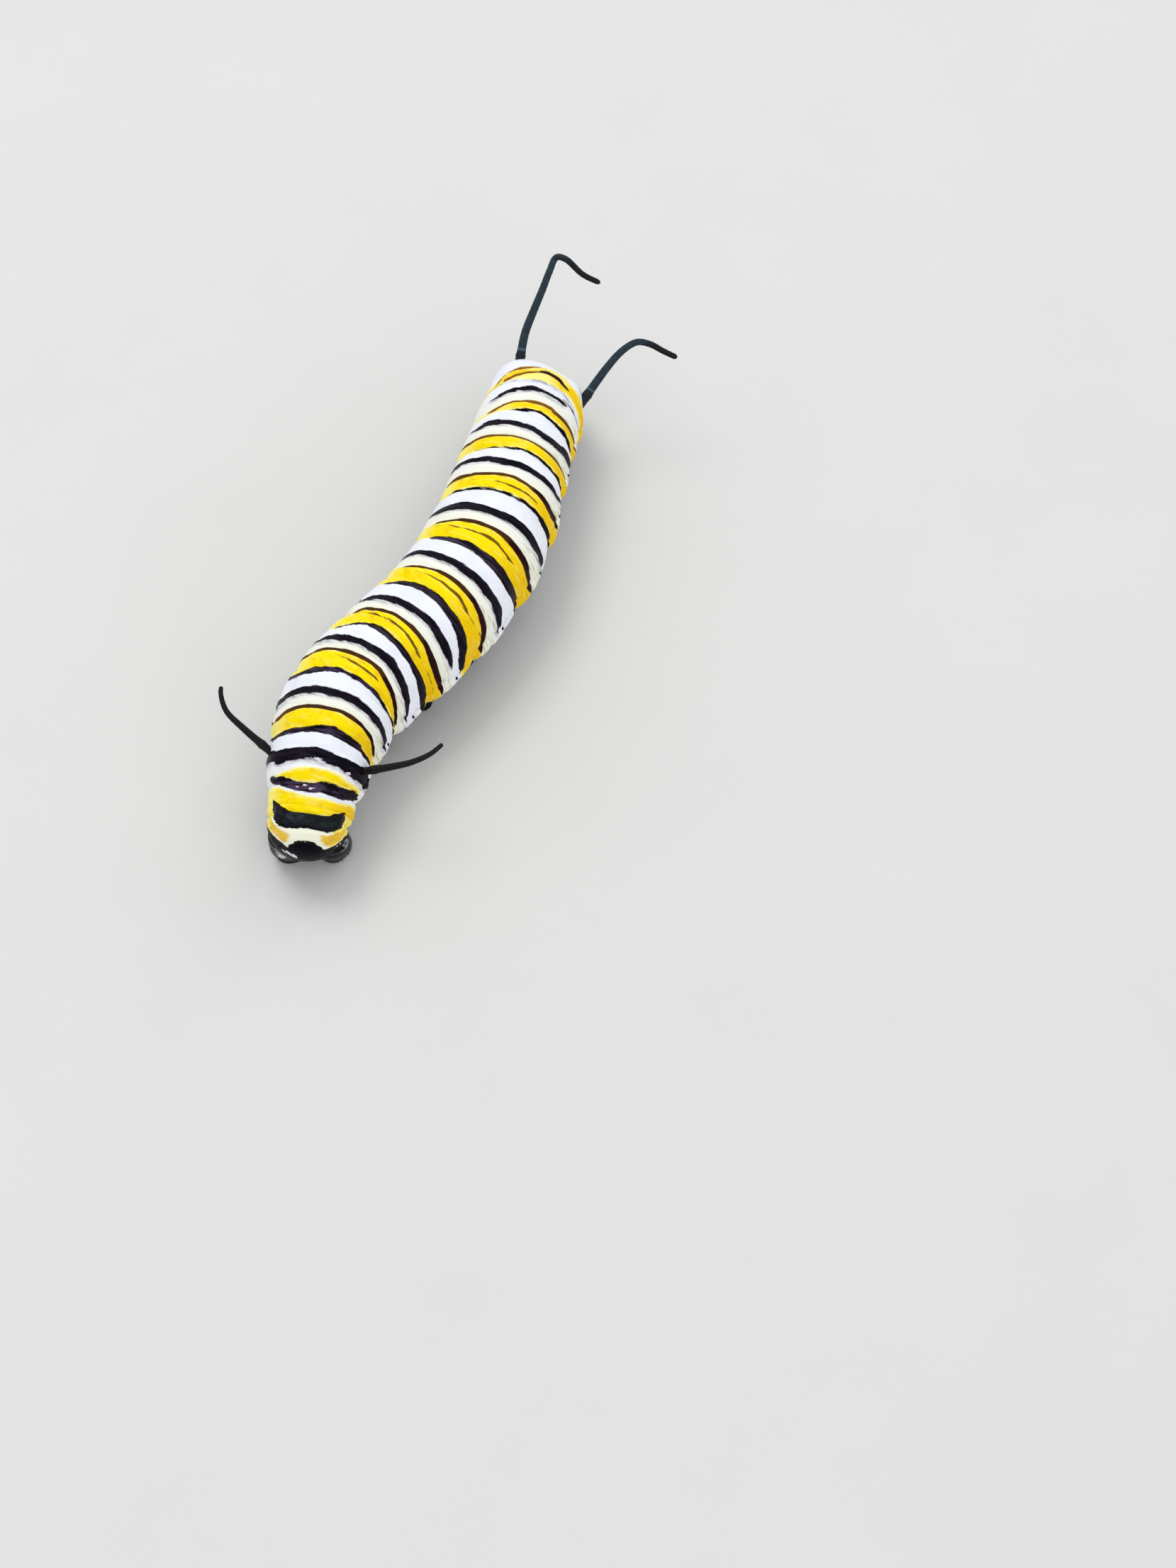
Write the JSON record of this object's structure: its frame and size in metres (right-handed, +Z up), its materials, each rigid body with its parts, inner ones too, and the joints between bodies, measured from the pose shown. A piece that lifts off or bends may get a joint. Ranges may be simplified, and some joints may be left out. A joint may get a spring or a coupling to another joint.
{
  "type": "monarch larva model",
  "caption": "Life-size still model of a monarch butterfly larva at rest, its ringed body gently curved, its head tucked down and a pair of soft horns at each end.",
  "frame": {"origin": "on the floor under the middle of the larva's bounding box", "axes": "+Z up, -Y towards the head, +Y towards the tail, -X the larva's right side"},
  "size_m": [0.0152, 0.0416, 0.0103],
  "materials": {
    "skin": "satin, ringed in white, yellow and black",
    "head": "black with yellow arcs, slightly glossy",
    "black": "black, slightly glossy",
    "filament": "blue-grey black, satin"
  },
  "bodies": {
    "root": {"head": "head", "antenna_right": "black", "antenna_left": "black", "mouthparts": "black", "thorax_1": "skin", "thorax_2": "skin", "thorax_3": "skin", "abdomen_1": "skin", "abdomen_2": "skin", "abdomen_3": "skin", "abdomen_4": "skin", "abdomen_5": "skin", "abdomen_6": "skin", "abdomen_7": "skin", "abdomen_8": "skin", "abdomen_9": "skin", "anal_shield": "black", "abdomen_10": "skin", "true_leg_1_right": "black", "true_leg_1_left": "black", "true_leg_2_right": "black", "true_leg_2_left": "black", "true_leg_3_right": "black", "true_leg_3_left": "black", "proleg_3_right": "black", "proleg_3_left": "black", "proleg_4_right": "black", "proleg_4_left": "black", "proleg_5_right": "black", "proleg_5_left": "black", "proleg_6_right": "black", "proleg_6_left": "black", "anal_proleg_right": "black", "anal_proleg_left": "black", "front_filament_left_base": "filament", "front_filament_left_tip": "black", "rear_filament_left": "black", "front_filament_right_base": "filament", "front_filament_right_tip": "black", "rear_filament_right": "black"}
  },
  "joints": []
}
